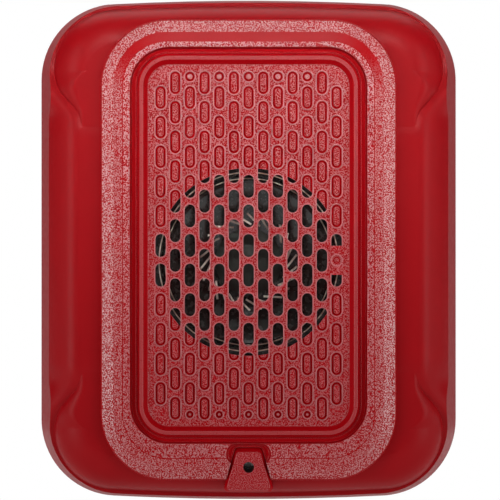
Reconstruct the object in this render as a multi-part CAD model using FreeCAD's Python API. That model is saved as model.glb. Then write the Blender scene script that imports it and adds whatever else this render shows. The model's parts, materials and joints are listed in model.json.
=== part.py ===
import FreeCAD, Part
import math
import os

os.makedirs("parts", exist_ok=True)
V = FreeCAD.Vector

# Wall horn, compact pattern.  Millimetres, +Z up, +X right, front towards -Y.
# A depth is always the distance in front of the wall plane.

# ---- outer body ----
WALL = 2.3            # moulded wall thickness
BACK_EDGE = 1.0       # gap between the wall and the rear rim of the body
HALF_W = 59.65        # body half width at the wall
HALF_H = 71.65        # body half height at the wall, on the centre line
CORNER_R = 22.0
BOW_R = 760.0         # radius of the slightly bowed top and bottom edges
LEDGE = 18.5          # depth of the narrow ledge around the corners
SHRINK_W = 3.1        # side draft between wall and ledge
SHRINK_H = 1.6        # top and bottom draft between wall and ledge
FRONT = 27.5          # depth of the smooth front at the middle of the sides
PILLOW = 27.44        # depth of the pillow carrying the sounder front
PILLOW_R = 10.0       # roll-off radius of the pillow round its corners, top and bottom
WAIST_R = 1.0         # its roll-off radius along the waist
NECK_FROM = 37.6      # height where the roll-off starts to grow
NECK_TO = 50.6        # height where it is full
WAIST_EDGE = 59.5     # foot of the side scoops
WAIST_TOP = 47.9      # crest of the side scoops at mid height
CREST_MAX = 56.4      # crest position at the corners
FLARE_FROM = 36.0
FLARE_TO = 52.0
DROP_FROM = 34.0
DROP_TO = 54.0

# ---- sounder front ----
POD_W = 41.6
POD_H = 64.8
POD_R = 18.7
POD_EDGE = 29.0       # depth where the textured front starts
POD_FLAT = 31.2       # depth of its flat inner band
BAND = 3.5            # width of the sloping outer band
MIDDLE = 2.4          # width of the gently sloping middle band
SEAT_GAP = 0.05       # gap between the sounder front and the body it sits on
PANEL_Z = 1.25        # the grille panel sits a little above the middle
PANEL = 30.3          # depth of the grille panel face
RIM = 31.75           # thin rim around the panel, the overall depth
GROOVE = 29.6
SPK_Z = -3.4          # speaker axis

# ---- fixing screw and swing axis ----
SCREW_Z = -61.2
AXIS_Z = 67.4
AXIS_D = 3.0


def box(x0, x1, d0, d1, z0, z1):
    return Part.makeBox(x1 - x0, d1 - d0, z1 - z0, V(x0, -d1, z0))


def cyl(x, z, r, d0, d1):
    return Part.makeCylinder(r, d1 - d0, V(x, -d0, z), V(0, -1, 0))


def tube(x, z, r, bore, d0, d1):
    return cyl(x, z, r, d0, d1).cut(cyl(x, z, bore, d0 - 1, d1 + 1))


def join(shapes):
    return shapes[0].fuse(shapes[1:]).removeSplitter()


def four(shape):
    half = [shape, shape.mirror(V(0, 0, 0), V(1, 0, 0))]
    return half + [s.mirror(V(0, 0, 0), V(0, 0, 1)) for s in half]


def arc(cx, cz, r, a0, a1, d):
    pts = [V(cx + r * math.cos(a), -d, cz + r * math.sin(a)) for a in (a0, (a0 + a1) / 2, a1)]
    return Part.Arc(*pts).toShape()


def closed(edges):
    """Closes a run of arcs into a wire, adding the straight sides between them."""
    out = []
    for i, e in enumerate(edges):
        out.append(e)
        end = e.valueAt(e.LastParameter)
        nxt = edges[(i + 1) % len(edges)]
        start = nxt.valueAt(nxt.FirstParameter)
        if end.distanceToPoint(start) > 1e-6:
            out.append(Part.makeLine(end, start))
    return Part.Wire(out)


def rounded(w, h, r, d, cz=0.0):
    """Rounded rectangle of half sizes w and h at one depth."""
    q = math.pi / 2
    arcs = []
    for k, (sx, sz) in enumerate(((1, 1), (-1, 1), (-1, -1), (1, -1))):
        arcs.append(arc(sx * (w - r), cz + sz * (h - r), r, k * q, (k + 1) * q, d))
    return closed(arcs)


def soft_polygon(corners, r, d):
    """Polygon of (x, z) corners, rounded by r, at one depth."""
    pts = [V(x, -d, z) for x, z in corners]
    arcs = []
    for i, p in enumerate(pts):
        u = (pts[i - 1] - p).normalize()
        v = (pts[(i + 1) % len(pts)] - p).normalize()
        half = u.getAngle(v) / 2
        run = r / math.tan(half)
        inner = p + (u + v).normalize() * (r / math.sin(half) - r)
        arcs.append(Part.Arc(p + u * run, inner, p + v * run).toShape())
    return closed(arcs)


def slab(w, h, r, d0, d1, cz=0.0):
    return Part.Face(rounded(w, h, r, d0, cz)).extrude(V(0, d0 - d1, 0))


def taper(steps, cz=0.0):
    """Solid through rounded rectangles given as (half width, half height, radius, depth)."""
    return Part.makeLoft([rounded(*s, cz) for s in steps], True, True)


def smooth(t):
    t = min(1.0, max(0.0, t))
    return t * t * (3 - 2 * t)


def corner_z(w, h, r):
    """Height of the corner centre that makes the corner tangent to the bowed edge."""
    return h - BOW_R + math.sqrt((BOW_R - r) ** 2 - (w - r) ** 2)


def body_outline(w, h, r, d):
    cx = w - r
    cz = corner_z(w, h, r)
    lean = math.atan2(cx, cz - (h - BOW_R))
    q = math.pi / 2
    edges = [
        arc(cx, cz, r, 0, q - lean, d),
        arc(0, h - BOW_R, BOW_R, q - lean, q + lean, d),
        arc(-cx, cz, r, q + lean, math.pi, d),
        arc(-cx, -cz, r, -math.pi, -q - lean, d),
        arc(0, BOW_R - h, BOW_R, -q - lean, -q + lean, d),
        arc(cx, -cz, r, -q + lean, 0, d),
    ]
    return closed(edges)


def pillow_outline(t, d):
    """Outline of the pillow: full width at the corners, necked in along the sides."""
    w = 55.2 - t
    h = 69.0 - t
    r = 17.4 - t
    turn = math.radians(42)
    outer = 10.6 - t
    inner = 6.0 + t
    waist = 47.6 - t
    cz = corner_z(w, h, r)
    fx = w - outer
    foot = fx + outer * math.cos(turn)
    run = foot - (waist + inner * (1 - math.cos(turn)))
    fz = cz - outer * math.sin(turn) - run / math.tan(turn)
    nz = fz - inner * math.sin(turn)
    cx = w - r
    lean = math.atan2(cx, cz - (h - BOW_R))
    q = math.pi / 2
    p = math.pi
    edges = [
        arc(waist + inner, nz, inner, p, p - turn, d),
        arc(fx, cz, outer, -turn, 0, d),
        arc(cx, cz, r, 0, q - lean, d),
        arc(0, h - BOW_R, BOW_R, q - lean, q + lean, d),
        arc(-cx, cz, r, q + lean, p, d),
        arc(-fx, cz, outer, p, p + turn, d),
        arc(-waist - inner, nz, inner, turn, 0, d),
        arc(-waist - inner, -nz, inner, 0, -turn, d),
        arc(-fx, -cz, outer, p - turn, p, d),
        arc(-cx, -cz, r, -p, -q - lean, d),
        arc(0, BOW_R - h, BOW_R, -q - lean, -q + lean, d),
        arc(cx, -cz, r, -q + lean, 0, d),
        arc(fx, -cz, outer, 0, turn, d),
        arc(waist + inner, -nz, inner, p + turn, p, d),
    ]
    return closed(edges)


def scoop_section(z, t):
    """Cross-section of the scooped body at height z: quarter ellipses joined by a flat front."""
    flare = smooth((abs(z) - FLARE_FROM) / (FLARE_TO - FLARE_FROM))
    drop = smooth((abs(z) - DROP_FROM) / (DROP_TO - DROP_FROM))
    crest = WAIST_TOP + (CREST_MAX - WAIST_TOP) * flare - t
    reach = WAIST_EDGE - WAIST_TOP
    top = FRONT - (FRONT - LEDGE) * drop - t
    foot = -0.5
    sides = []
    for sx in (1, -1):
        pts = []
        for k in range(9):
            a = math.pi / 2 * k / 8
            pts.append(V(sx * (crest + reach * math.cos(a)), -foot - (top - foot) * math.sin(a), z))
        curve = Part.BSplineCurve()
        curve.interpolate(pts if sx > 0 else pts[::-1])
        sides.append(curve.toShape())
    right, left = sides
    return Part.Wire([
        right,
        Part.makeLine(right.valueAt(right.LastParameter), left.valueAt(left.FirstParameter)),
        left,
        Part.makeLine(left.valueAt(left.LastParameter), right.valueAt(right.FirstParameter)),
    ])


def rolled(block, front, t):
    """Rolls off the front edge of the pillow, tightly along the waist and fully round the corners."""
    def radius(z):
        share = min(1.0, max(0.0, (abs(z) - NECK_FROM) / (NECK_TO - NECK_FROM)))
        return max(0.5, WAIST_R + (PILLOW_R - WAIST_R) * share - t)

    document = FreeCAD.newDocument()
    source = document.addObject("Part::Feature")
    source.Shape = block
    fillet = document.addObject("Part::Fillet")
    fillet.Base = source
    edges = []
    for i, e in enumerate(block.Edges, 1):
        if e.BoundBox.YMax < -front + 1e-4:
            start = e.valueAt(e.FirstParameter)
            end = e.valueAt(e.LastParameter)
            edges.append((i, radius(start.z), radius(end.z)))
    fillet.Edges = edges
    document.recompute()
    return fillet.Shape.copy()


def body(t):
    """The smooth body, inset by t on every side."""
    far = 29.0
    k = far / LEDGE
    lower = body_outline(HALF_W - t, HALF_H - t, CORNER_R - t, 0)
    upper = body_outline(HALF_W - t - SHRINK_W * k, HALF_H - t - SHRINK_H * k, CORNER_R - t - 3, far)
    block = Part.makeLoft([lower, upper], True, True)
    heights = [15, 30, 34, 38, 42, 46, 50, 54, 60, 67, 74]
    stack = [-z for z in reversed(heights)] + [0] + heights
    scoop = Part.makeLoft([scoop_section(z, t) for z in stack], True, False)
    base = block.common(scoop)
    pillow = Part.Face(pillow_outline(t, 12.0)).extrude(V(0, -(PILLOW - t - 12.0), 0))
    return base.fuse(rolled(pillow, PILLOW - t, t)).removeSplitter()


def spin(x, z, profile):
    """Solid of revolution about a front-to-back axis, from (radius, depth) points."""
    pts = [V(x + r, -d, z) for r, d in profile]
    return Part.Face(Part.makePolygon(pts + pts[:1])).revolve(V(x, 0, z), V(0, 1, 0), 360)


def stadium(x, z, half_w, half_h, d0, d1):
    shape = slab(half_w, half_h, half_w, d0, d1, z)
    shape.translate(V(x, 0, 0))
    return shape


def screw(x, z, head_r, shank_r, tip, seat, head_h, facing):
    """Pan-head screw lying front to back; facing +1 shows its head to the front."""
    top = seat + facing * head_h
    mid = seat + facing * head_h * 0.6
    s = spin(x, z, [(0, tip), (shank_r * 0.6, tip), (shank_r, tip + facing * 0.5), (shank_r, seat),
                    (head_r, seat), (head_r, mid), (head_r * 0.7, top), (0, top)])
    deep = sorted((top - facing * head_h * 0.6, top + facing))
    wing = head_r * 0.6
    for a in (0, 90):
        slot = box(x - wing, x + wing, deep[0], deep[1], z - head_r * 0.13, z + head_r * 0.13)
        slot.rotate(V(x, 0, z), V(0, 1, 0), a)
        s = s.cut(slot)
    return s


PARTS = {}
group = Part.makeCompound

# ---------------- smooth outer body ----------------
outer = body(0)
shell = outer.cut(body(WALL)).cut(box(-70, 70, -3, BACK_EDGE, -80, 80))
shell = shell.cut(box(-40, 40, -1, 2.4, 62, 74))
shell = shell.cut(slab(POD_W - 1.2, POD_H - 1.2, POD_R - 1.2, 18, 32))
shell = shell.cut(cyl(0, SCREW_Z, 5.3, 10, 30))
POST_X = 46.0
POST_Z = 54.0
posts = [p.common(outer) for p in four(cyl(POST_X, POST_Z, 3.3, 12.1, 26.2))]
hang = []
for sx in (-1, 1):
    for x in (22.6, 29.4):
        hang.append(box(sx * x - 1, sx * x + 1, 1.5, 7.5, AXIS_Z - 1.4, 69.3))
    hang.append(Part.makeCylinder(1.1, 7.4, V(sx * 26 - 3.7, -AXIS_D, AXIS_Z), V(1, 0, 0)))
shell = join([shell] + posts + hang)
shell = shell.cut(four(cyl(POST_X, POST_Z, 1.1, 11, 22)))
PARTS["outer_housing"] = shell

# ---------------- textured sounder front ----------------
flange = slab(POD_W, POD_H, POD_R, 17, POD_EDGE).cut(outer.translated(V(0, -SEAT_GAP, 0)))
plug = slab(POD_W - 1.4, POD_H - 1.4, POD_R - 1.4, 23.6, POD_EDGE)
plug = plug.cut(slab(POD_W - 3.6, POD_H - 3.6, POD_R - 3.6, 20, 27.0))
crown = taper([
    (POD_W, POD_H, POD_R, POD_EDGE),
    (POD_W - 0.35, POD_H - 0.35, POD_R - 0.35, POD_EDGE + 0.45),
    (POD_W - BAND, POD_H - BAND, POD_R - BAND, POD_FLAT - 0.55),
    (POD_W - BAND - MIDDLE, POD_H - BAND - MIDDLE, POD_R - BAND - MIDDLE, POD_FLAT - 0.08),
    (POD_W - BAND - MIDDLE - 0.4, POD_H - BAND - MIDDLE - 0.4, POD_R - BAND - MIDDLE - 0.4, POD_FLAT),
])
rim = slab(30.6, 53.2, 8.3, POD_FLAT - 0.2, RIM, PANEL_Z)
clips = []
for sx in (-1, 1):
    for z in (-34, 0, 34):
        x0, x1 = sorted((sx * (POD_W - 2.0), sx * (POD_W - 0.5)))
        clips.append(box(x0, x1, 23.6, 24.9, z - 4, z + 4))
pod = join([flange, plug, crown, rim] + clips)
gutter = taper([(32.9, 55.3, 10.6, GROOVE), (33.7, 56.1, 11.4, 32.2)], PANEL_Z)
pod = pod.cut(gutter.cut(slab(30.6, 53.2, 8.3, 29, 33, PANEL_Z)))
bead = slab(31.75, 54.35, 9.45, GROOVE - 0.2, GROOVE + 0.25, PANEL_Z)
pod = pod.fuse(bead.cut(slab(31.45, 54.05, 9.15, 29, 33, PANEL_Z)))
pod = pod.cut(taper([(28.3, 50.85, 6.0, PANEL), (29.75, 52.3, 7.45, RIM + 0.1)], PANEL_Z))
pod = pod.cut(slab(27.3, 49.8, 5.0, 26, 28.3, PANEL_Z))
pod = pod.cut(cyl(0, SPK_Z, 31.2, 26, 28.3))

# fixing tab: a boss with drafted flanks, in a bay of the lower band and set off by a V groove
bay = taper([(5.8, 2.6, 2.5, 29.5), (6.4, 3.2, 3.1, 31.3)], -57.5)
pod = pod.cut(bay)
TAB = 30.4
FOOT = [(-3.8, -55.5), (3.8, -55.5), (7.25, -68.2), (-7.25, -68.2)]
FACE = [(-3.2, -56.9), (3.2, -56.9), (6.35, -67.6), (-6.35, -67.6)]
LIP = [(-4.1, -55.1), (4.1, -55.1), (7.75, -68.6), (-7.75, -68.6)]
lip = pod.translated(V(0, -0.12, 0)).common(Part.Face(soft_polygon(LIP, 1.7, 28)).extrude(V(0, -6, 0)))
pod = pod.fuse(lip).removeSplitter()
pod = pod.cut(Part.Face(soft_polygon(FOOT, 1.3, 28.9)).extrude(V(0, -4, 0)))
sections = [soft_polygon(FOOT, 1.3, 17), soft_polygon(FOOT, 1.3, 28.9), soft_polygon(FACE, 1.0, TAB)]
tab = Part.makeLoft(sections, True, True)
tab = tab.cut(outer.cut(cyl(0, SCREW_Z, 5.0, 10, 30)))
tower = cyl(0, SCREW_Z, 5.0, 12.1, 28.9)
pod = join([pod, tab, tower])
pod = pod.cut(cyl(0, SCREW_Z, 3.3, 14.2, 28.0))
pod = pod.cut(cyl(0, SCREW_Z, 2.4, 11, 15))
pod = pod.cut(cyl(0, SCREW_Z, 1.52, 27, 32))

# grille: staggered columns of slots, open only in front of the speaker
PITCH_X = 4.125
PITCH_Z = 8.32
SLOT_W = 1.47
SLOT_H = 3.22
MOAT_W = 0.7          # width and depth of the groove that outlines a blind slot
MOAT_D = 0.45
centres = []
for k in range(13):
    rows = 11 if k % 2 == 0 else 12
    for j in range(rows):
        centres.append(((k - 6) * PITCH_X, 1.2 + (j - (rows - 1) / 2) * PITCH_Z))
dots = [((k - 6) * PITCH_X, 1.2 + s * 47.5, r) for k in (2, 4, 6, 8, 10) for s, r in ((1, 1.4), (-1, 1.05))]
PAD_X = 6 * PITCH_X   # a pad with a small boss bridges the two open slots at the far right
PAD_Z = -2.96
PAD_W = 1.85
PAD_H = 4.1
pad = box(PAD_X - PAD_W, PAD_X + PAD_W, 28.3, 33, PAD_Z - PAD_H, PAD_Z + PAD_H)
window = cyl(0, SPK_Z, 26.4, 27, 33).common(box(-22.8, 22.8, 26, 34, -40, 40))
for x in (-PAD_X, PAD_X):
    window = window.fuse(box(x - 1.9, x + 1.9, 27, 33, SPK_Z - 8.2, SPK_Z + 8.2))
window = window.cut(pad)
lips = [stadium(x, z, SLOT_W + 0.3, SLOT_H + 0.3, PANEL - 0.2, PANEL + 0.2) for x, z in centres]
lips += [cyl(x, z, r + 0.3, PANEL - 0.2, PANEL + 0.2) for x, z, r in dots]
slots = group([stadium(x, z, SLOT_W, SLOT_H, 27.5, 33) for x, z in centres])
moats = []
for x, z in centres:
    moat = stadium(x, z, SLOT_W, SLOT_H, PANEL - MOAT_D, 33)
    moats.append(moat.cut(stadium(x, z, SLOT_W - MOAT_W, SLOT_H - MOAT_W, 27, PANEL + 0.05)))
for x, z, r in dots:
    moats.append(tube(x, z, r, r - MOAT_W, PANEL - MOAT_D, 33))
pod = pod.fuse(lips).removeSplitter()
pod = pod.cut(group(moats).cut(pad))
pod = pod.cut(slots.common(window))
pod = pod.cut(box(PAD_X - PAD_W, PAD_X + PAD_W, PANEL, 33, PAD_Z - PAD_H, PAD_Z + PAD_H))
pod = pod.cut(tube(PAD_X, PAD_Z, 1.1, 0.55, PANEL - 0.25, 33))
pod = pod.fuse(tube(PAD_X, PAD_Z, 1.75, 1.45, PANEL - 0.1, PANEL + 0.2)).removeSplitter()
EARS = [(sx * 32.6, SPK_Z + sz * 12) for sx in (-1, 1) for sz in (-1, 1)]
pod = pod.cut([cyl(x, z, 0.85, 26, 28.9) for x, z in EARS])
PARTS["front_pod"] = pod

# ---------------- rear cover ----------------
STANDOFFS = [(sx * 35, z) for sx in (-1, 1) for z in (-45, 52)]
SEL_X = -26.0
SEL_Z = 30.0
cover = slab(54.0, 65.6, 18.0, 10.5, 12.1)
cover = join([cover] + [cyl(x, z, 2.6, 11.5, 13.2) for x, z in STANDOFFS])
cover = cover.fuse(box(-1.2, 1.2, 5.9, 11, -0.6, 1.6)).removeSplitter()
cover = cover.cut([cyl(x, z, 0.9, 10, 14) for x, z in STANDOFFS])
cover = cover.cut(four(cyl(POST_X, POST_Z, 1.4, 10, 13)))
cover = cover.cut(cyl(0, SCREW_Z, 2.7, 10, 13))
cover = cover.cut(box(-16, 16, 10, 13, 4.6, 10.6))
cover = cover.cut(box(SEL_X - 6.3, SEL_X + 6.3, 10, 13, SEL_Z - 6.3, SEL_Z + 6.3))
vents = [stadium(x, -36, 1.2, 7, 10, 13) for x in (-16, -10, 10, 16)]
cover = cover.cut(vents)
PARTS["rear_cover"] = cover
PARTS["rear_cover_screws"] = group(four(screw(POST_X, POST_Z, 2.4, 1.05, 20.0, 10.5, 1.5, -1)))

# ---------------- speaker ----------------
PARTS["speaker_gasket"] = tube(0, SPK_Z, 28.8, 26.6, 27.4, 28.3)
basket = spin(0, SPK_Z, [(25.2, 27.4), (30.4, 27.4), (30.4, 26.2), (26.6, 26.2), (16.2, 20.6), (9.4, 20.6),
                         (9.4, 21.1), (15.8, 21.1), (25.2, 26.1)])
for x, z in EARS:
    basket = basket.fuse(cyl(x, z, 2.6, 25.8, 27.0))
    bridge = box(min(x, x * 0.78), max(x, x * 0.78), 26.2, 27.0, z - 2.2, z + 2.2)
    basket = basket.fuse(bridge)
basket = basket.fuse(box(-6, 6, 22.2, 23.6, SPK_Z - 27, SPK_Z - 17.5))
basket = basket.cut([cyl(x, z, 0.95, 25, 28) for x, z in EARS])
for a in (0, 90, 180):
    hole = box(-5, 5, 22.2, 25.6, 16, 26)
    hole.rotate(V(0, 0, 0), V(0, 1, 0), a + 90)
    hole.translate(V(0, 0, SPK_Z))
    basket = basket.cut(hole)
basket = basket.cut([cyl(x, SPK_Z - 25, 0.75, 21, 24) for x in (-4, 4)])
PARTS["speaker_frame"] = basket.removeSplitter()
PARTS["speaker_screws"] = group([screw(x, z, 1.7, 0.8, 28.6, 25.8, 1.1, -1) for x, z in EARS])
PARTS["pole_yoke"] = join([cyl(0, SPK_Z, 13.0, 15.2, 16.4), cyl(0, SPK_Z, 7.0, 16.0, 20.8)])
PARTS["magnet"] = tube(0, SPK_Z, 13.4, 9.0, 16.4, 19.4)
PARTS["top_plate"] = tube(0, SPK_Z, 14.2, 8.1, 19.4, 20.6)
PARTS["voice_coil_former"] = tube(0, SPK_Z, 7.46, 7.3, 18.2, 23.3)
PARTS["voice_coil"] = tube(0, SPK_Z, 7.74, 7.46, 18.5, 20.9)
cone = spin(0, SPK_Z, [(7.3, 23.3), (9.9, 23.6), (14.2, 24.1), (22.6, 25.6), (22.6, 25.95), (14.1, 24.45),
                       (9.9, 23.95), (7.3, 23.65)])
ribs = []
for k in range(26):
    rib = box(-0.28, 0.28, 23.8, 24.75, -2.6, 2.6)
    rib.rotate(V(0, 0, 0), V(0, 1, 0), 38)
    rib.translate(V(12.0, 0, 0))
    rib.rotate(V(0, 0, 0), V(0, 1, 0), k * 360 / 26)
    rib.translate(V(0, 0, SPK_Z))
    ribs.append(rib)
PARTS["diaphragm_cone"] = cone.fuse(ribs).removeSplitter()
cap = []
for lift, r in ((0.0, 9.4), (0.35, 9.05)):
    for k in range(7):
        s = k / 6 if lift == 0 else 1 - k / 6
        cap.append((r * s, 23.95 + 2.6 * (1 - s * s) - lift * (1 - s)))
PARTS["dust_cap"] = spin(0, SPK_Z, cap[:7] + [(9.05, 23.95)] + cap[8:])
front_line = [(22.2, 25.97), (22.9, 26.25), (23.5, 26.95), (24.1, 26.35), (24.7, 27.1), (25.3, 27.7),
              (26.4, 27.7)]
back_line = [(26.4, 27.4), (25.1, 27.4), (24.7, 26.75), (24.1, 25.95), (23.5, 26.6), (23.0, 25.97)]
PARTS["surround"] = spin(0, SPK_Z, front_line + back_line)
leads = []
for x in (-4, 4):
    path = Part.BSplineCurve()
    line = [(14.8, -38), (16.2, -38), (19, -34), (21.5, SPK_Z - 25), (23.9, SPK_Z - 25)]
    path.interpolate([V(x, -d, z) for d, z in line])
    ring = Part.Wire(Part.makeCircle(0.5, V(x, -14.8, -38), V(0, 1, 0)))
    leads.append(Part.Wire(path.toShape()).makePipeShell([ring], True, False))
PARTS["speaker_leads"] = group(leads)

# ---------------- circuit board ----------------
board = slab(40, 56.5, 6, 13.2, 14.8, 3.5)
board = board.cut([cyl(x, z, 1.2, 12, 16) for x, z in STANDOFFS])
PARTS["circuit_board"] = board
PARTS["board_screws"] = group([screw(x, z, 2.0, 0.85, 11.2, 14.8, 1.2, 1) for x, z in STANDOFFS])
cans = []
for x in (-24, -12):
    can = spin(x, 46, [(0, 14.8), (3.9, 14.8), (4.0, 15.0), (4.0, 16.0), (3.7, 16.3), (4.0, 16.6),
                       (4.0, 23.9), (3.6, 24.2), (3.2, 24.2), (3.2, 24.0), (0, 24.0)])
    for a in (0, 60, 120):
        score = box(x - 2.6, x + 2.6, 23.8, 25, 45.85, 46.15)
        score.rotate(V(x, 0, 46), V(0, 1, 0), a)
        can = can.cut(score)
    cans.append(can)
PARTS["capacitors"] = group(cans)
PARTS["inductor_core"] = spin(4, 46, [(0, 14.8), (5.2, 14.8), (5.2, 15.8), (2.6, 15.8),
                                      (2.6, 20.4), (5.2, 20.4), (5.2, 21.4), (0, 21.4)])
winding = [(2.6, 15.8)]
for k in range(8):
    winding += [(4.4, 15.8 + k * 0.575), (4.65, 16.09 + k * 0.575)]
PARTS["inductor_winding"] = spin(4, 46, winding + [(4.4, 20.4), (2.6, 20.4)])
PARTS["driver_chip"] = box(18, 28, 15.0, 17.2, 42.3, 49.7)
pins = []
for k in range(8):
    for s in (-1, 1):
        x = 18.55 + k * 1.27
        z0, z1 = sorted((46 + s * 3.7, 46 + s * 4.7))
        foot0, foot1 = sorted((46 + s * 4.4, 46 + s * 5.2))
        pins.append(box(x - 0.2, x + 0.2, 15.9, 16.15, z0, z1).fuse(
            [box(x - 0.2, x + 0.2, 14.8, 16.15, *sorted((46 + s * 4.45, 46 + s * 4.7))),
             box(x - 0.2, x + 0.2, 14.8, 15.05, foot0, foot1)]).removeSplitter())
PARTS["chip_leads"] = group(pins)
PARTS["chip_resistors"] = group([box(x, x + 2, 14.8, 15.3, z, z + 1.25)
                                 for x in (31, 34.5) for z in (36, 39, 42)])
BLADES = [-12, -4, 4, 12]
PARTS["contact_blades"] = group([box(x - 1.1, x + 1.1, 4.4, 13.2, 7.2, 8.0) for x in BLADES])
knob_bore = cyl(SEL_X, SEL_Z, 4.6, 8, 12.2)
PARTS["selector_body"] = box(SEL_X - 6, SEL_X + 6, 10.0, 13.2, SEL_Z - 6, SEL_Z + 6).cut(knob_bore)
rotor = cyl(SEL_X, SEL_Z, 4.3, 9.0, 11.9)
rotor = rotor.cut(box(SEL_X - 3.2, SEL_X + 3.2, 8, 10.0, SEL_Z - 0.5, SEL_Z + 0.5))
rotor = rotor.cut(cyl(SEL_X, SEL_Z + 3.0, 0.5, 8, 9.4))
PARTS["selector_rotor"] = rotor

# ---------------- captive fixing screw ----------------
thread = [(0, 6.9), (1.3, 6.9)]
for k in range(6):
    thread += [(1.75, 7.1 + k * 0.794), (2.05, 7.45 + k * 0.794)]
head = [(2.05, 15.0), (2.8, 15.0), (2.8, 16.6), (2.2, 17.4), (0, 17.4)]
profile = thread + [(1.75, 11.9), (2.05, 12.2)] + head
fixing = spin(0, SCREW_Z, profile)
for a in (0, 90):
    slot = box(-1.6, 1.6, 15.9, 18, SCREW_Z - 0.4, SCREW_Z + 0.4)
    slot.rotate(V(0, 0, SCREW_Z), V(0, 1, 0), a)
    fixing = fixing.cut(slot)
PARTS["mounting_screw"] = fixing
PARTS["screw_washer"] = tube(0, SCREW_Z, 2.95, 2.13, 14.2, 15.0)
PARTS["threaded_insert"] = tube(0, SCREW_Z, 3.4, 2.35, 7.4, 9.8)

# ---------------- mounting plate ----------------
LEAF_D = 5.4          # pin of the shorting leaf
LEAF_Z = -7.0
GANG = 41.65
GANG_X = 23.0
OCT = 44.45
plate = slab(54, 64.5, 17, 0, 2.2)
plate = plate.fuse(slab(54, 64.5, 17, 2.0, 4.5).cut(slab(52.2, 62.7, 15.2, 1, 5)))
plate = plate.fuse([box(sx * 36 - 0.8, sx * 36 + 0.8, 2, 4.2, -48, 48) for sx in (-1, 1)])
plate = plate.fuse([tube(x, z, 4.4, 2.2, 1.5, 3.2) for x in (-GANG_X, 0, GANG_X) for z in (-GANG, GANG)])
plate = plate.fuse([tube(x, 0, 4.4, 2.2, 1.5, 3.2) for x in (-OCT, OCT)])
plate = plate.fuse(cyl(0, SCREW_Z, 5.0, 0, 10.0))
plate = plate.fuse(slab(18.6, 14.6, 4.6, 1.5, 3.6, -24))
plate = plate.fuse(box(-7, 7, 2, 4.2, -8.6, -5.4))
plate = plate.fuse([box(x - 0.75, x + 0.75, 2, 6.3, -8.2, -5.8) for x in (-6.25, 6.25)])
plate = plate.fuse(Part.makeCylinder(0.35, 14, V(-7, -LEAF_D, LEAF_Z), V(1, 0, 0)))
for sx in (-1, 1):
    hook = box(sx * 26 - 1.6, sx * 26 + 1.6, 0, 6.0, 58, 67.9)
    hook = hook.cut(box(sx * 26 - 2, sx * 26 + 2, 4.5, 7, 57, 62))
    hook = hook.cut(Part.makeCylinder(1.45, 5, V(sx * 26 - 2.5, -AXIS_D, AXIS_Z), V(1, 0, 0)))
    hook = hook.cut(box(sx * 26 - 2, sx * 26 + 2, AXIS_D - 1.45, AXIS_D + 1.45, AXIS_Z, 70))
    plate = plate.fuse(hook)
plate = plate.removeSplitter()
plate = plate.cut(slab(17, 13, 3, -1, 5, -24))
plate = plate.cut([cyl(x, z, 2.2, -1, 5) for x in (-GANG_X, 0, GANG_X) for z in (-GANG, GANG)])
plate = plate.cut([cyl(x, 0, 2.4, -1, 5) for x in (-OCT, OCT)])
plate = plate.cut([cyl(0, SCREW_Z, 2.6, 1.2, 8), cyl(0, SCREW_Z, 3.4, 7.4, 11)])
PARTS["mounting_plate"] = plate

metal = []
for x in BLADES:
    strip = join([box(x - 2, x + 2, 7.0, 7.4, 9.2, 23), box(x - 2, x + 2, 3.8, 7.4, 9.2, 9.6)])
    if abs(x) < 5:
        inner = math.copysign(1.0, -x)
        x0, x1 = sorted((x + inner * 1.4, x + inner * 2.0))
        strip = join([strip, box(x0, x1, 7.0, 7.4, -1.5, 9.4)])
    metal.append(strip.cut(cyl(x, 19, 1.6, 3, 8)))
block = join([box(-19, 19, 2.2, 7.0, 4, 26), box(-19, 19, 6.5, 9.0, 4, 12.5)]
             + [box(x - 0.5, x + 0.5, 6.5, 9.4, 12, 26) for x in (-18.5, -8, 0, 8, 18.5)])
block = block.cut([box(x - 2.2, x + 2.2, 3.4, 10, 6.0, 9.6) for x in BLADES])
block = block.cut([cyl(x, 19, 1.6, 3, 8) for x in BLADES])
block = block.cut(metal)
PARTS["terminal_block"] = block
PARTS["terminal_contacts"] = group(metal)
clamps = [box(x - 3, x + 3, 7.4, 8.2, 16, 22) for x in BLADES]
PARTS["terminal_clamps"] = group([c.cut(cyl(x, 19, 1.6, 7, 9)) for c, x in zip(clamps, BLADES)])
PARTS["terminal_screws"] = group([screw(x, 19, 2.5, 1.4, 3.6, 8.2, 1.4, 1) for x in BLADES])
eye = Part.makeCylinder(0.75, 10.4, V(-5.2, -LEAF_D, LEAF_Z), V(1, 0, 0))
leaf = join([eye, box(-1.9, 1.9, 5.2, 5.6, LEAF_Z, -1), box(-4, 4, 5.2, 5.6, -1.4, 1.6)])
PARTS["shorting_leaf"] = leaf.cut(Part.makeCylinder(0.4, 12, V(-6, -LEAF_D, LEAF_Z), V(1, 0, 0)))

for name, shape in PARTS.items():
    shape.exportStep("parts/" + name + ".step")
    if not shape.isValid():
        print(name, "is not valid")
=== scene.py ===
"""Looks of the wall horn: one procedural material per slot, the soft surround, lights and camera."""

import json
import math

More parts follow.
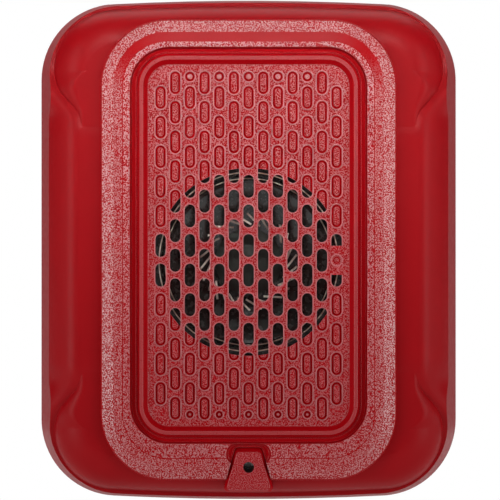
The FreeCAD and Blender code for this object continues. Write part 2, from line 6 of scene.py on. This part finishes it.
import bpy
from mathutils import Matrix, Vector


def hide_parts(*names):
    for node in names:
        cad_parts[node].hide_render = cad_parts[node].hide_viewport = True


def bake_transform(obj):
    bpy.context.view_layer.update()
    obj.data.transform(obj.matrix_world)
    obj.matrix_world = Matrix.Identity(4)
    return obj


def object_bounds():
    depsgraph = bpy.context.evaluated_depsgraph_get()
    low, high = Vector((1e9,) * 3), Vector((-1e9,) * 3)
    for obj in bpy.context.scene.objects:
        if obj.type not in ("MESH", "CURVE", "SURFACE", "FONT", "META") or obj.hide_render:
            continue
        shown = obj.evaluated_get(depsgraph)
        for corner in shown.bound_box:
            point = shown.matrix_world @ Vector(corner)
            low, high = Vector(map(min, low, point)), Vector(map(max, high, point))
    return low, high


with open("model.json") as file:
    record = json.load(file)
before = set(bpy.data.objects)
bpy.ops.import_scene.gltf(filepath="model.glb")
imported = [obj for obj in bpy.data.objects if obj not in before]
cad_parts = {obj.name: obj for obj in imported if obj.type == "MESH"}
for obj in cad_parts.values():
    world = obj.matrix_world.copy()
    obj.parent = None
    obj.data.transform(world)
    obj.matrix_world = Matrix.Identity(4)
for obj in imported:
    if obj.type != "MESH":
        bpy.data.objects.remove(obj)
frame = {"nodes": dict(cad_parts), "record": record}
cad_low, cad_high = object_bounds()

MM = 0.001
TO_MM = 1000.0
FRONT = (0.0, -1.0, 0.0)      # the way the horn faces

# ---------------------------------------------------------------- node helpers


class Paint:
    """A material in the making. Patterns are worked in the part's own millimetres."""

    def __init__(self, name, color, roughness, **sockets):
        self.material = bpy.data.materials.new(name)
        self.material.use_nodes = True
        self.tree = self.material.node_tree
        self.shader = self.tree.nodes["Principled BSDF"]
        self.color = color
        self.shader.inputs["Base Color"].default_value = (*color, 1.0)
        self.shader.inputs["Roughness"].default_value = roughness
        for socket, value in sockets.items():
            self.shader.inputs[socket.replace("_", " ")].default_value = value
        self.geometry = self.add("ShaderNodeNewGeometry")
        coords = self.add("ShaderNodeTexCoord")
        self.place = self.vector("SCALE", coords.outputs["Object"], scale=TO_MM)

    def add(self, kind, inputs=None, **settings):
        node = self.tree.nodes.new(kind)
        for key, value in settings.items():
            setattr(node, key, value)
        for key, value in (inputs or {}).items():
            self.feed(node.inputs[key], value)
        return node

    def feed(self, socket, value):
        if isinstance(value, bpy.types.NodeSocket):
            self.tree.links.new(value, socket)
        else:
            socket.default_value = value

    def math(self, operation, a, b=0.0, clamp=False):
        node = self.add("ShaderNodeMath", {0: a, 1: b}, operation=operation, use_clamp=clamp)
        return node.outputs[0]

    def vector(self, operation, a, b=None, scale=None):
        inputs = {0: a}
        if b is not None:
            inputs[1] = b
        if scale is not None:
            inputs["Scale"] = scale
        node = self.add("ShaderNodeVectorMath", inputs, operation=operation)
        return node.outputs["Value" if operation == "DOT_PRODUCT" else "Vector"]

    def stretch(self, factors):
        return self.vector("MULTIPLY", self.place, factors)

    def noise(self, size, detail=2.0, roughness=0.5, at=None):
        """Cloudy pattern from 0 to 1 with features about size millimetres wide."""
        inputs = {"Vector": at or self.place, "Scale": 1.0 / size, "Detail": detail, "Roughness": roughness}
        return self.add("ShaderNodeTexNoise", inputs).outputs["Fac"]

    def cells(self, size, feature="F1", at=None):
        inputs = {"Vector": at or self.place, "Scale": 1.0 / size}
        return self.add("ShaderNodeTexVoronoi", inputs, feature=feature).outputs["Distance"]

    def ramp(self, value, low, high, to_low=0.0, to_high=1.0):
        inputs = {"Value": value, "From Min": low, "From Max": high, "To Min": to_low, "To Max": to_high}
        return self.add("ShaderNodeMapRange", inputs, interpolation_type="SMOOTHSTEP").outputs["Result"]

    def mix_color(self, factor, a, b):
        node = self.add("ShaderNodeMix", data_type="RGBA")
        self.feed(node.inputs["Factor"], factor)
        for socket, value in ((node.inputs[6], a), (node.inputs[7], b)):
            self.feed(socket, value if isinstance(value, bpy.types.NodeSocket) else (*value, 1.0))
        return node.outputs[2]

    def tint(self, factor, color):
        """Blends the base colour towards color by a pattern."""
        base = self.shader.inputs["Base Color"]
        start = base.links[0].from_socket if base.links else self.color
        self.feed(base, self.mix_color(factor, start, color))

    def shade(self, pattern, amount):
        """Makes the colour lighter and darker by a share of itself, after a pattern from 0 to 1."""
        self.tint(self.ramp(pattern, 0.5, 0.8, 0.0, 1.0), [min(1.0, c * (1 + amount)) for c in self.color])
        self.tint(self.ramp(pattern, 0.5, 0.2, 0.0, 1.0), [c * (1 - amount) for c in self.color])

    def rough(self, pattern, low, high):
        self.feed(self.shader.inputs["Roughness"], self.ramp(pattern, 0.25, 0.75, low, high))

    def bump(self, height, depth):
        """Raises the surface by height, which runs from 0 to 1, times depth in millimetres."""
        socket = self.shader.inputs["Normal"]
        inputs = {"Height": height, "Distance": depth * MM, "Strength": 1.0}
        if socket.links:
            inputs["Normal"] = socket.links[0].from_socket
        node = self.add("ShaderNodeBump", inputs)
        self.feed(socket, node.outputs["Normal"])

    def soft_edges(self, radius):
        """Lets the light catch sharp edges as if they were rounded, and returns how near an edge is."""
        node = self.add("ShaderNodeBevel", {"Radius": radius * MM}, samples=4)
        self.feed(self.shader.inputs["Normal"], node.outputs["Normal"])
        along = self.vector("DOT_PRODUCT", node.outputs["Normal"], self.geometry.outputs["Normal"])
        return self.ramp(along, 0.995, 0.90, 0.0, 1.0)

    def facing(self, direction):
        """How squarely the surface faces a direction of the part."""
        turned = self.add("ShaderNodeVectorTransform", {"Vector": self.geometry.outputs["Normal"]},
                          vector_type="NORMAL", convert_from="WORLD", convert_to="OBJECT")
        return self.vector("DOT_PRODUCT", turned.outputs["Vector"], direction)

    def outward(self):
        """Above 0 where the surface leans away from the middle of the horn, as seen from the front."""
        return self.facing(self.stretch((1.0, 0.0, 1.0)))

    def between(self, value, low, high):
        """1 where a value lies between two bounds, and 0 elsewhere."""
        above = self.math("GREATER_THAN", value, low)
        return self.math("MULTIPLY", above, self.math("LESS_THAN", value, high))

    def depth(self):
        """Distance in front of the wall plane, in millimetres."""
        split = self.add("ShaderNodeSeparateXYZ", {"Vector": self.place})
        return self.math("MULTIPLY", split.outputs["Y"], -1.0)

    def height(self):
        """Height above the middle of the horn, in millimetres."""
        return self.add("ShaderNodeSeparateXYZ", {"Vector": self.place}).outputs["Z"]


# ---------------------------------------------------------------- materials

RED = (0.315, 0.001, 0.004)
RED_SMOOTH = (0.355, 0.001, 0.004)
# lighter red painted on the channel floors as painted light
RED_CHANNEL_LIGHT_PAINT = (0.44, 0.001, 0.005)
RED_POD = (0.36, 0.002, 0.006)
# paler red of the painted highlight on the edges of the smooth body
RED_EDGE_HIGHLIGHT_PAINT = (0.55, 0.05, 0.06)
# pale red of the painted glints and painted highlights on the stippled pod
RED_GLINT_PAINT = (0.62, 0.20, 0.22)


def smooth_red():
    """Matt moulded plastic with a very fine, even skin; its edges are tinted paler red as a painted
    highlight.
    """
    paint = Paint("smooth_red", RED, 0.42, Specular_IOR_Level=0.13)
    near_edge = paint.soft_edges(0.25)
    paint.shade(paint.noise(9.0, 3.0), 0.04)
    # painted highlight: the edges are tinted paler red
    paint.tint(paint.math("MULTIPLY", near_edge, 0.15), RED_EDGE_HIGHLIGHT_PAINT)
    paint.rough(paint.noise(1.6, 4.0), 0.38, 0.46)
    paint.bump(paint.noise(0.35, 2.0), 0.004)
    return paint.material


GRAIN = 0.32                  # width of one grain of the stippled finish
GRAIN_BUMP = 0.14             # height of a grain
GRAIN_EDGE = (0.47, 0.55)     # values of the grain pattern between which it turns from dark to pale; the pale grains carry the painted glints
SLOPE = (0.70, 0.965)         # how squarely the stippled outer band faces the front
SLOPE_TOP = 30.75             # depth where that band ends
MIDDLE = (0.965, 0.985)       # how squarely the middle band faces the front
MIDDLE_DEPTH = (30.6, 31.15)
MIDDLE_FADE = (58.0, 42.0)    # heights between which its stipple fades out upwards
PANEL_FACE = (30.15, 30.60)   # depths of the stippled grille panel with its lips
INNER_FLAT = (31.15, 31.30)   # depths of the stippled flat band round the channel
LIPS = (30.46, 30.60)         # depth of the raised lips round the slots
RIM_FACE = 31.5               # depth above which the thin rim lies
FLOORS = (29.2, 30.05)        # depths of the floors of the channels
SQUARE_ON = 0.985             # flat faces look at least this squarely to the front
MIDDLE_STIPPLE = 0.8          # share of the full stipple that the middle band has low down
BAND_PAINTED_GLINT = 0.18              # extra painted glint on the grains of the bands
PAINTED_GLINT = 0.12                   # painted glint on the grains everywhere
PANEL_DULLED = 0.45           # share of its gloss that the grille panel lacks
EDGE_SHARE = 0.5              # how strongly edges, lips and the rim take the painted highlight
LIP_SHARE = 0.6
RIM_SHARE = 0.3
# strength of the painted highlight tint
HIGHLIGHT_PAINT_STRENGTH = 0.35
SPECULAR = (0.025, 1.0)       # specular level of smooth and of fully stippled plastic


def stippled_red():
    """Glossier red; the open faces are stippled, the channels and slopes between them are smooth. Pale
    specks on the grains are painted glints, pale edges, lips and rim are painted highlights, and the
    channel floors get a lighter red as painted light.
    """
    paint = Paint("stippled_red", RED_SMOOTH, 0.34, IOR=1.9)
    near_edge = paint.soft_edges(0.22)
    facing = paint.facing(FRONT)
    depth = paint.depth()
    slope = paint.between(facing, *SLOPE)
    slope = paint.math("MULTIPLY", slope, paint.math("LESS_THAN", depth, SLOPE_TOP))
    slope = paint.math("MULTIPLY", slope, paint.math("GREATER_THAN", paint.outward(), 0.0))
    middle = paint.math("MULTIPLY", paint.between(facing, *MIDDLE), paint.between(depth, *MIDDLE_DEPTH))
    middle = paint.math("MULTIPLY", middle, paint.ramp(paint.height(), *MIDDLE_FADE, 0.0, MIDDLE_STIPPLE))
    flat = paint.math("GREATER_THAN", facing, SQUARE_ON)
    panel = paint.math("MULTIPLY", flat, paint.between(depth, *PANEL_FACE))
    inner = paint.math("MULTIPLY", flat, paint.between(depth, *INNER_FLAT))
    bands = paint.math("MAXIMUM", slope, paint.math("MAXIMUM", middle, inner))
    grained = paint.math("MAXIMUM", bands, panel)
    lip = paint.math("MULTIPLY", flat, paint.between(depth, *LIPS))
    floor = paint.math("MULTIPLY", flat, paint.between(depth, *FLOORS))
    grains = paint.noise(GRAIN, 1.0)
    speckle = paint.ramp(grains, *GRAIN_EDGE)
    paint.shade(paint.noise(7.0, 3.0), 0.05)
    # painted light: the channel floors take a lighter red than the same plastic elsewhere, against the
    # shade in the channels
    paint.tint(floor, RED_CHANNEL_LIGHT_PAINT)
    paint.tint(grained, RED_POD)
    # painted glints: pale specks on the grains, stronger on the bands
    painted_glint = paint.math("MULTIPLY", bands, BAND_PAINTED_GLINT)
    painted_glint = paint.math("ADD", painted_glint, paint.math("MULTIPLY", grained, PAINTED_GLINT))
    paint.tint(paint.math("MULTIPLY", painted_glint, speckle), RED_GLINT_PAINT)
    # painted highlights: edges, lips and the rim are tinted pale
    rim = paint.math("MULTIPLY", flat, paint.math("GREATER_THAN", depth, RIM_FACE))
    painted_highlight = paint.math("MULTIPLY", near_edge, EDGE_SHARE)
    painted_highlight = paint.math("MAXIMUM", painted_highlight, paint.math("MULTIPLY", lip, LIP_SHARE))
    painted_highlight = paint.math("MAXIMUM", painted_highlight, paint.math("MULTIPLY", rim, RIM_SHARE))
    paint.tint(paint.math("MULTIPLY", painted_highlight, HIGHLIGHT_PAINT_STRENGTH), RED_GLINT_PAINT)
    gloss = paint.math("SUBTRACT", grained, paint.math("MULTIPLY", panel, PANEL_DULLED))
    gloss = paint.math("MULTIPLY", gloss, paint.ramp(speckle, 0.0, 1.0, 0.08, 1.0))
    gloss = paint.math("MAXIMUM", gloss, painted_highlight)
    paint.feed(paint.shader.inputs["Specular IOR Level"], paint.ramp(gloss, 0.0, 1.0, *SPECULAR))
    paint.rough(paint.noise(GRAIN * 1.3, 2.0), 0.26, 0.42)
    paint.bump(paint.math("MULTIPLY", grains, grained), GRAIN_BUMP)
    return paint.material


def moulded(name, color, roughness=0.5, grain=0.5, depth=0.01, tone=0.10):
    """Fine matt moulded plastic with a slightly uneven tone and edges tinted paler as a painted highlight.
    """
    paint = Paint(name, color, roughness)
    near_edge = paint.soft_edges(0.2)
    paint.shade(paint.noise(6.0, 3.0), tone)
    # painted highlight: the edges are tinted paler
    paint.tint(paint.math("MULTIPLY", near_edge, 0.25), [min(1.0, c * 1.6 + 0.02) for c in color])
    paint.rough(paint.noise(grain * 2, 3.0), roughness - 0.08, roughness + 0.08)
    paint.bump(paint.noise(grain, 2.0), depth)
    return paint.material


def plated(name, color, roughness=0.3, line=0.25):
    """Plated metal with faint turning lines and dulled patches."""
    paint = Paint(name, color, roughness, Metallic=1.0)
    lines = paint.noise(line, 3.0, at=paint.stretch((1.0, 6.0, 1.0)))
    paint.shade(paint.noise(2.5, 4.0), 0.12)
    paint.rough(paint.noise(1.2, 4.0), roughness - 0.08, roughness + 0.14)
    paint.bump(lines, 0.004)
    return paint.material


def black_steel():
    paint = Paint("black_steel", (0.018, 0.018, 0.02), 0.38)
    near_edge = paint.soft_edges(0.15)
    # painted highlight: the edges are tinted grey
    paint.tint(paint.math("MULTIPLY", near_edge, 0.3), (0.12, 0.12, 0.125))
    paint.rough(paint.noise(0.9, 4.0), 0.30, 0.50)
    paint.bump(paint.noise(0.3, 3.0), 0.010)
    return paint.material


def foam():
    paint = Paint("foam", (0.05, 0.05, 0.052), 0.85)
    pores = paint.cells(0.45)
    paint.shade(paint.noise(0.8, 3.0), 0.35)
    paint.bump(pores, 0.12)
    return paint.material


def film(name, color, roughness, coat=0.4):
    """Thin glossy plastic film with a faint draw texture."""
    paint = Paint(name, color, roughness, Coat_Weight=coat, Coat_Roughness=0.12)
    paint.shade(paint.noise(3.0, 3.0), 0.25)
    paint.rough(paint.noise(1.5, 4.0), roughness - 0.06, roughness + 0.12)
    paint.bump(paint.noise(1.2, 3.0), 0.012)
    return paint.material


SPEAKER_Z = -3.4
RIDGES = (23.5, 25.2)         # radii of the crests of the surround
RIDGE_FADE = (0.24, 0.08)     # distances from a crest between which its painted highlight turns full
RIDGE_HIGHLIGHT_PAINT = (1.0, 0.95, 0.80)
RIB_CREST = 24.70             # depth above which the top faces of the cone's ribs lie
RIB_ENDS = (15.5, 15.0)       # radii between which their painted highlight ends
RIB_HIGHLIGHT_PAINT = (1.0, 0.96, 0.84)


def film_black():
    """Glossy black film whose ridges and ribs are tinted pale along their crests as painted highlights."""
    paint = Paint("film_black", (0.030, 0.031, 0.028), 0.24, Coat_Weight=0.5, Coat_Roughness=0.10)
    centred = paint.vector("SUBTRACT", paint.stretch((1.0, 0.0, 1.0)), (0.0, 0.0, SPEAKER_Z))
    radius = paint.add("ShaderNodeVectorMath", {0: centred}, operation="LENGTH").outputs["Value"]
    paint.shade(paint.noise(3.0, 3.0), 0.25)
    for ridge in RIDGES:
        away = paint.math("ABSOLUTE", paint.math("SUBTRACT", radius, ridge))
        # painted highlights along the crests of the surround
        paint.tint(paint.ramp(away, *RIDGE_FADE), RIDGE_HIGHLIGHT_PAINT)
    ribs = paint.math("GREATER_THAN", paint.depth(), RIB_CREST)
    ribs = paint.math("MULTIPLY", ribs, paint.ramp(radius, *RIB_ENDS))
    # painted highlights on the top faces of the cone's ribs
    paint.tint(ribs, RIB_HIGHLIGHT_PAINT)
    paint.rough(paint.noise(1.5, 4.0), 0.18, 0.34)
    paint.bump(paint.noise(1.2, 3.0), 0.012)
    return paint.material


def copper():
    paint = Paint("copper", (0.72, 0.30, 0.14), 0.28, Metallic=1.0, Coat_Weight=0.5, Coat_Roughness=0.1)
    turns = paint.noise(0.12, 1.0, at=paint.stretch((0.15, 1.0, 0.15)))
    paint.shade(turns, 0.25)
    paint.rough(turns, 0.22, 0.40)
    paint.bump(turns, 0.03)
    return paint.material


def ferrite():
    paint = Paint("ferrite", (0.055, 0.055, 0.06), 0.55)
    paint.shade(paint.noise(0.4, 4.0), 0.4)
    paint.rough(paint.noise(0.9, 4.0), 0.42, 0.66)
    paint.bump(paint.noise(0.25, 4.0), 0.02)
    return paint.material


LANE_PITCH = 6.0              # spacing of the circuit board's copper lanes


def board_green():
    """Solder mask over copper tracks, which show as slightly raised, lighter lanes."""
    paint = Paint("board_green", (0.012, 0.10, 0.035), 0.28, Coat_Weight=0.3, Coat_Roughness=0.08)
    lanes = paint.add("ShaderNodeTexVoronoi", {"Vector": paint.place, "Scale": 1.0 / LANE_PITCH},
                      feature="DISTANCE_TO_EDGE", distance="MANHATTAN").outputs["Distance"]
    track = paint.ramp(lanes, 0.10, 0.07)
    paint.tint(track, (0.03, 0.20, 0.07))
    paint.shade(paint.noise(5.0, 2.0), 0.08)
    paint.rough(paint.noise(1.0, 3.0), 0.22, 0.36)
    paint.bump(track, 0.03)
    return paint.material


BAND_TOP = 43.2               # height below which the capacitors carry their polarity band
CAN_TOP = 23.95               # depth above which their bare tops lie


def can_sleeve():
    """Shrunk sleeve of a capacitor, with a pale polarity band and a bare aluminium top."""
    paint = Paint("can_sleeve", (0.012, 0.016, 0.04), 0.30)
    band = paint.math("LESS_THAN", paint.height(), BAND_TOP)
    side = paint.math("SUBTRACT", 1.0, paint.ramp(paint.facing(FRONT), 0.6, 0.8))
    paint.tint(paint.math("MULTIPLY", band, side), (0.45, 0.47, 0.50))
    top = paint.math("GREATER_THAN", paint.depth(), CAN_TOP)
    paint.tint(top, (0.75, 0.75, 0.76))
    paint.feed(paint.shader.inputs["Metallic"], top)
    paint.rough(paint.noise(0.8, 4.0), 0.24, 0.40)
    paint.bump(paint.noise(0.9, 2.0), 0.02)
    return paint.material


def wire_red():
    paint = Paint("wire_red", (0.42, 0.012, 0.01), 0.35)
    paint.shade(paint.noise(1.2, 3.0), 0.12)
    paint.rough(paint.noise(0.6, 3.0), 0.28, 0.45)
    paint.bump(paint.noise(0.5, 2.0), 0.01)
    return paint.material


FINISHES = {
    "smooth_red": smooth_red(),
    "stippled_red": stippled_red(),
    "rear_black": moulded("rear_black", (0.025, 0.025, 0.027), 0.52),
    "plated_steel": plated("plated_steel", (0.62, 0.62, 0.60), 0.30),
    "black_steel": black_steel(),
    "foam": foam(),
    "film_black": film_black(),
    "cap_film": film("cap_film", (0.05, 0.065, 0.055), 0.55, 0.0),
    "copper": copper(),
    "kapton": film("kapton", (0.50, 0.20, 0.04), 0.25),
    "ferrite": ferrite(),
    "iron": plated("iron", (0.50, 0.50, 0.49), 0.34),
    "board_green": board_green(),
    "can_sleeve": can_sleeve(),
    "chip_black": moulded("chip_black", (0.022, 0.022, 0.024), 0.46, 0.25, 0.008),
    "tin": plated("tin", (0.68, 0.68, 0.66), 0.26),
    "spring_brass": plated("spring_brass", (0.74, 0.54, 0.24), 0.24),
    "wire_red": wire_red(),
    "plate_white": moulded("plate_white", (0.70, 0.69, 0.65), 0.48, tone=0.04),
    "block_black": moulded("block_black", (0.028, 0.028, 0.030), 0.50),
    "rotor_white": moulded("rotor_white", (0.76, 0.76, 0.73), 0.44, tone=0.04),
}

for part in frame["record"]["subparts"]:
    materials = frame["nodes"][part["node"]].data.materials
    materials.clear()
    materials.append(FINISHES[part["material_slot"]])

roll = bpy.data.objects.new("surround_roll", frame["nodes"]["surround"].data.copy())
bpy.context.scene.collection.objects.link(roll)
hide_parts("surround")
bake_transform(roll)

# ---------------------------------------------------------------- stage

centre = (cad_low + cad_high) / 2
height = cad_high.z - cad_low.z
floor_z = cad_low.z - 0.5 * height      # the horn hangs on a wall, clear of the floor
FLOOR_RADIUS = 1.25
FLOOR_GLOW = 0.18             # keeps the floor pale although the lamps are aimed at the horn


def disc(name, radius, z, sides=96):
    ring = [(radius * math.cos(a), radius * math.sin(a), z)
            for a in (2 * math.pi * k / sides for k in range(sides))]
    mesh = bpy.data.meshes.new(name)
    mesh.from_pydata(ring, [], [tuple(range(sides))])
    plate = bpy.data.objects.new(name, mesh)
    bpy.context.scene.collection.objects.link(plate)
    return plate


def floor_finish():
    """Pale matt floor that fades into the white surroundings at its rim."""
    paint = Paint("floor", (0.72, 0.72, 0.71), 0.8)
    paint.shade(paint.noise(60.0, 3.0), 0.01)
    paint.bump(paint.noise(2.0, 2.0), 0.02)
    flat = paint.vector("MULTIPLY", paint.place, (MM, MM, 0.0))
    reach = paint.add("ShaderNodeVectorMath", {0: flat}, operation="LENGTH").outputs["Value"]
    fade = paint.ramp(reach, 0.30 * FLOOR_RADIUS, 0.90 * FLOOR_RADIUS, FLOOR_GLOW, 1.0)
    paint.shader.inputs["Emission Color"].default_value = (1, 1, 1, 1)
    paint.feed(paint.shader.inputs["Emission Strength"], fade)
    return paint.material


floor = disc("floor", FLOOR_RADIUS, floor_z)
floor.data.materials.append(floor_finish())


def soft_box(name, azimuth, elevation, distance, width, tall, radiance, grid=180, target=centre):
    """Area light that faces the horn. Azimuth 0 is the camera's side and 90 the horn's left as seen.

    A grid narrows its beam to that many degrees round the target.
    """
    a = math.radians(azimuth)
    e = math.radians(elevation)
    back = Vector((-math.sin(a) * math.cos(e), -math.cos(a) * math.cos(e), math.sin(e)))
    light = bpy.data.lights.new(name, "AREA")
    light.shape = "RECTANGLE"
    light.size = width
    light.size_y = tall
    light.energy = radiance * width * tall * math.pi
    light.spread = math.radians(grid)
    lamp = bpy.data.objects.new(name, light)
    lamp.location = target + back * distance
    lamp.rotation_mode = "QUATERNION"
    lamp.rotation_quaternion = back.to_track_quat("Z", "Y")
    lamp.visible_camera = False
    bpy.context.scene.collection.objects.link(lamp)


UPPER_PANEL = centre + Vector((0, 0, 45 * MM))

soft_box("near_box", 0, 24, 0.38, 0.26, 0.06, 0.85, 25, UPPER_PANEL)
soft_box("top_box", 0, 51, 0.7, 0.9, 0.30, 0.85)
soft_box("high_rear_box", 0, 112, 0.8, 0.9, 0.5, 2.2)
soft_box("rear_fill", 180, 15, 1.0, 1.0, 0.8, 0.5)
soft_box("left_box", 54, 3, 0.8, 0.36, 0.8, 3.7)
soft_box("right_box", -54, 3, 0.8, 0.36, 0.8, 3.4)
soft_box("left_rear_box", 88, 3, 0.8, 0.4, 0.8, 0.4)
soft_box("right_rear_box", -88, 3, 0.8, 0.4, 0.8, 0.6)

AMBIENT = 0.03


def surroundings():
    """White to look at, dim as a source of light, so that the boxes shape the horn."""
    world = bpy.data.worlds.new("surroundings")
    world.use_nodes = True
    tree = world.node_tree
    shader = tree.nodes["Background"]
    shader.inputs["Color"].default_value = (1, 1, 1, 1)
    path = tree.nodes.new("ShaderNodeLightPath")
    level = tree.nodes.new("ShaderNodeMapRange")
    level.inputs["To Min"].default_value = AMBIENT
    level.inputs["To Max"].default_value = 1.0
    tree.links.new(path.outputs["Is Camera Ray"], level.inputs["Value"])
    tree.links.new(level.outputs["Result"], shader.inputs["Strength"])
    return world


scene = bpy.context.scene
scene.world = surroundings()
scene.view_settings.view_transform = "Standard"

# ---------------------------------------------------------------- camera

CAMERA_DISTANCE = 1.4         # from the wall plane
FRAME_HEIGHT = 0.1437         # height of the picture at the wall plane
SIDE_STEP = 0.0004
SENSOR = 36.0

camera_data = bpy.data.cameras.new("camera")
camera_data.sensor_width = SENSOR
camera_data.lens = SENSOR * CAMERA_DISTANCE / FRAME_HEIGHT
camera = bpy.data.objects.new("camera", camera_data)
camera.location = (SIDE_STEP, -CAMERA_DISTANCE, centre.z)
camera.rotation_euler = (math.pi / 2, 0, 0)
scene.collection.objects.link(camera)
scene.camera = camera
